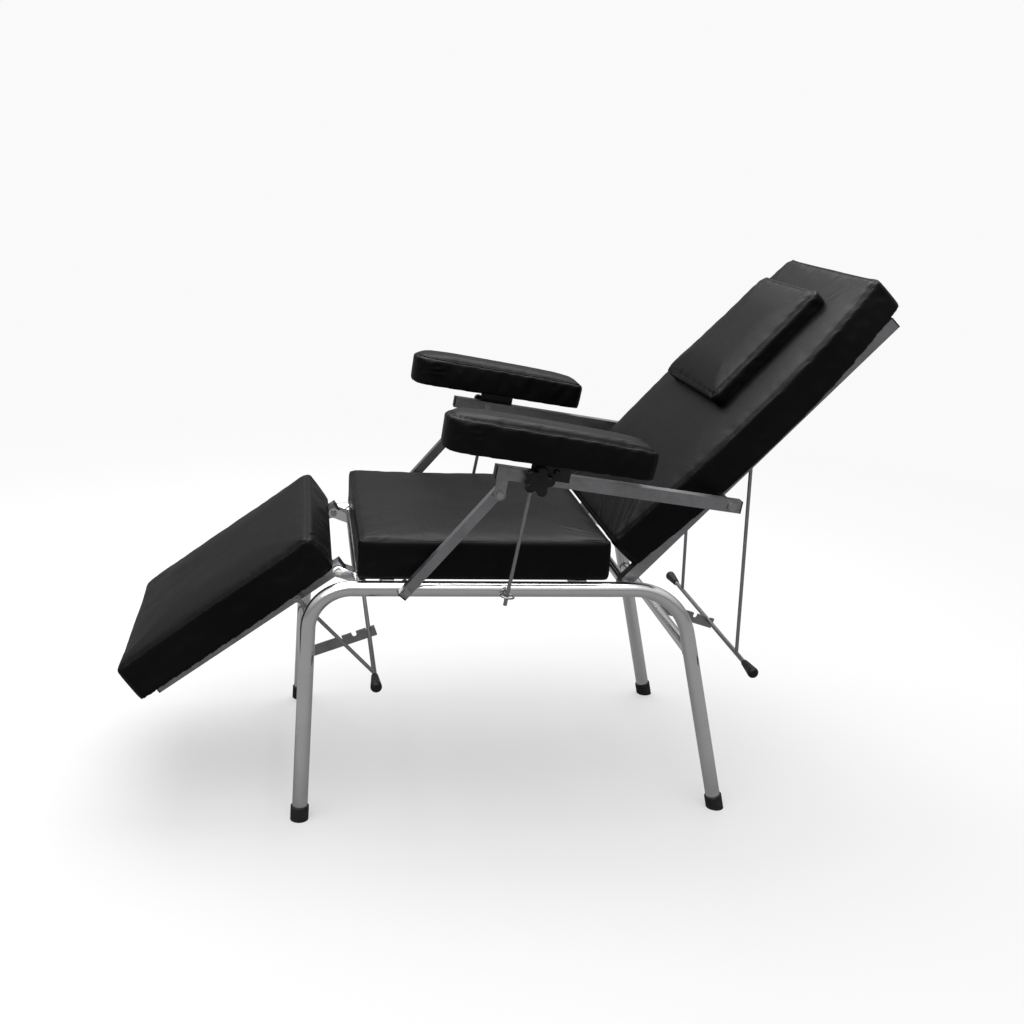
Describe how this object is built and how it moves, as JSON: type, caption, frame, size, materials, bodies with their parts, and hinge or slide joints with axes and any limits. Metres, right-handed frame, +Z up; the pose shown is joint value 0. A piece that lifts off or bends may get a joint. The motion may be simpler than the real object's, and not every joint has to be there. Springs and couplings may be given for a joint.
{
  "type": "hospital chair",
  "caption": "Reclining hospital chair with upholstered seat, leg rest, linked arm rests and head pillow on a bent-tube frame with notched props",
  "frame": {"origin": "on the floor, under the middle of the chair's bounding box", "axes": "+X from the leg rest towards the head end, +Y towards the sitter's right, +Z up"},
  "size_m": [1.5646, 0.804, 1.1523],
  "materials": {
    "chrome": "polished chrome plate",
    "satin_steel": "satin grey plated steel",
    "vinyl": "black upholstery vinyl with a fine grain",
    "rubber": "black rubber",
    "black_plastic": "black moulded plastic",
    "black_steel": "black painted steel",
    "plywood": "plain plywood"
  },
  "bodies": {
    "base": {"side_frame_left": "chrome", "side_frame_right": "chrome", "seat_front_tube": "chrome", "leg_hinge_bolts": "satin_steel", "front_seat_bearer": "satin_steel", "rear_seat_bearer": "satin_steel", "backrest_hinge_tube": "chrome", "front_cross_tube": "chrome", "rear_cross_tube": "chrome", "leg_rack": "satin_steel", "back_rack": "satin_steel", "front_foot_left": "rubber", "front_foot_right": "rubber", "rear_foot_left": "rubber", "rear_foot_right": "rubber", "seat_board": "plywood", "seat_cushion": "vinyl", "strut_foot_bolts": "satin_steel"},
    "leg_rest": {"leg_rest_frame": "satin_steel", "leg_frame_caps": "black_plastic", "leg_rest_board": "plywood", "leg_rest_cushion": "vinyl"},
    "leg_prop": {"leg_prop_frame": "satin_steel", "leg_prop_grips": "black_plastic"},
    "back_rest": {"back_frame": "satin_steel", "back_frame_caps": "black_plastic", "back_board": "plywood", "back_cushion": "vinyl", "head_pillow": "vinyl", "arm_pivot_pin_left": "satin_steel", "arm_pivot_pin_right": "satin_steel"},
    "back_prop": {"back_prop_frame": "satin_steel", "back_prop_grips": "black_plastic"},
    "arm_left": {"arm_bar_left": "satin_steel", "arm_bar_caps_left": "black_plastic", "strut_top_bolt_left": "satin_steel"},
    "strut_left": {"arm_strut_left": "satin_steel", "strut_caps_left": "black_plastic"},
    "stay_left": {"arm_stay_left": "satin_steel"},
    "eye_left": {"stay_eye_left": "satin_steel"},
    "pad_left": {"pad_bracket_left": "black_steel", "pad_board_left": "plywood", "arm_pad_left": "vinyl"},
    "knob_left": {"knob_bolt_left": "satin_steel", "arm_knob_left": "black_plastic"},
    "arm_right": {"arm_bar_right": "satin_steel", "arm_bar_caps_right": "black_plastic", "strut_top_bolt_right": "satin_steel"},
    "strut_right": {"arm_strut_right": "satin_steel", "strut_caps_right": "black_plastic"},
    "stay_right": {"arm_stay_right": "satin_steel"},
    "eye_right": {"stay_eye_right": "satin_steel"},
    "pad_right": {"pad_bracket_right": "black_steel", "pad_board_right": "plywood", "arm_pad_right": "vinyl"},
    "knob_right": {"knob_bolt_right": "satin_steel", "arm_knob_right": "black_plastic"}
  },
  "joints": [
    {"name": "backrest_recline", "type": "hinge", "parent": "base", "child": "back_rest", "pos_m": [0.25323, 0, 0.502], "axis": [0, -1, 0], "range_deg": [-36, 0]},
    {"name": "legrest_lift", "type": "hinge", "parent": "base", "child": "leg_rest", "pos_m": [-0.35077, 0, 0.522], "axis": [0, 1, 0], "range_deg": [0, 36]},
    {"name": "back_prop_swing", "type": "hinge", "parent": "back_rest", "child": "back_prop", "pos_m": [0.51299, 0, 0.79702], "axis": [0, -1, 0], "range_deg": [0, 46.8]},
    {"name": "leg_prop_swing", "type": "hinge", "parent": "leg_rest", "child": "leg_prop", "pos_m": [-0.43326, 0, 0.47035], "axis": [0, 1, 0], "range_deg": [-38.7, 0]},
    {"name": "arm_bar_pivot_left", "type": "hinge", "parent": "back_rest", "child": "arm_left", "pos_m": [0.42619, -0.3395, 0.71], "axis": [0, -1, 0], "range_deg": [0, 36]},
    {"name": "strut_pivot_left", "type": "hinge", "parent": "base", "child": "strut_left", "pos_m": [-0.21777, -0.308, 0.512], "axis": [0, -1, 0], "range_deg": [-36, 0]},
    {"name": "stay_pivot_left", "type": "hinge", "parent": "arm_left", "child": "stay_left", "pos_m": [0.0232, -0.3226, 0.76091], "axis": [0, -1, 0], "range_deg": [-38.4, 0]},
    {"name": "stay_eye_turn_left", "type": "hinge", "parent": "base", "child": "eye_left", "pos_m": [-0.01577, -0.3226, 0.506], "axis": [0, -1, 0], "range_deg": [-38.4, 0]},
    {"name": "pad_tilt_left", "type": "hinge", "parent": "arm_left", "child": "pad_left", "pos_m": [0.0232, -0.345, 0.76091], "axis": [0, -1, 0], "range_deg": [-4, 14]},
    {"name": "knob_turn_left", "type": "hinge", "parent": "arm_left", "child": "knob_left", "pos_m": [0.0232, -0.372, 0.76091], "axis": [0, 1, 0], "continuous": true},
    {"name": "arm_bar_pivot_right", "type": "hinge", "parent": "back_rest", "child": "arm_right", "pos_m": [0.42619, 0.3395, 0.71], "axis": [0, -1, 0], "range_deg": [0, 36]},
    {"name": "strut_pivot_right", "type": "hinge", "parent": "base", "child": "strut_right", "pos_m": [-0.21777, 0.308, 0.512], "axis": [0, -1, 0], "range_deg": [-36, 0]},
    {"name": "stay_pivot_right", "type": "hinge", "parent": "arm_right", "child": "stay_right", "pos_m": [0.0232, 0.3226, 0.76091], "axis": [0, -1, 0], "range_deg": [-38.4, 0]},
    {"name": "stay_eye_turn_right", "type": "hinge", "parent": "base", "child": "eye_right", "pos_m": [-0.01577, 0.3226, 0.506], "axis": [0, -1, 0], "range_deg": [-38.4, 0]},
    {"name": "pad_tilt_right", "type": "hinge", "parent": "arm_right", "child": "pad_right", "pos_m": [0.0232, 0.345, 0.76091], "axis": [0, -1, 0], "range_deg": [-4, 14]},
    {"name": "knob_turn_right", "type": "hinge", "parent": "arm_right", "child": "knob_right", "pos_m": [0.0232, 0.372, 0.76091], "axis": [0, 1, 0], "continuous": true}
  ],
  "couplings": [
    {"joint": "back_prop_swing", "follows": "backrest_recline", "ratio": -1.3},
    {"joint": "leg_prop_swing", "follows": "legrest_lift", "ratio": -1.075},
    {"joint": "arm_bar_pivot_left", "follows": "backrest_recline", "ratio": -1},
    {"joint": "strut_pivot_left", "follows": "backrest_recline", "ratio": 1},
    {"joint": "stay_pivot_left", "follows": "backrest_recline", "ratio": 1.065},
    {"joint": "stay_eye_turn_left", "follows": "backrest_recline", "ratio": 1.065},
    {"joint": "arm_bar_pivot_right", "follows": "backrest_recline", "ratio": -1},
    {"joint": "strut_pivot_right", "follows": "backrest_recline", "ratio": 1},
    {"joint": "stay_pivot_right", "follows": "backrest_recline", "ratio": 1.065},
    {"joint": "stay_eye_turn_right", "follows": "backrest_recline", "ratio": 1.065}
  ]
}
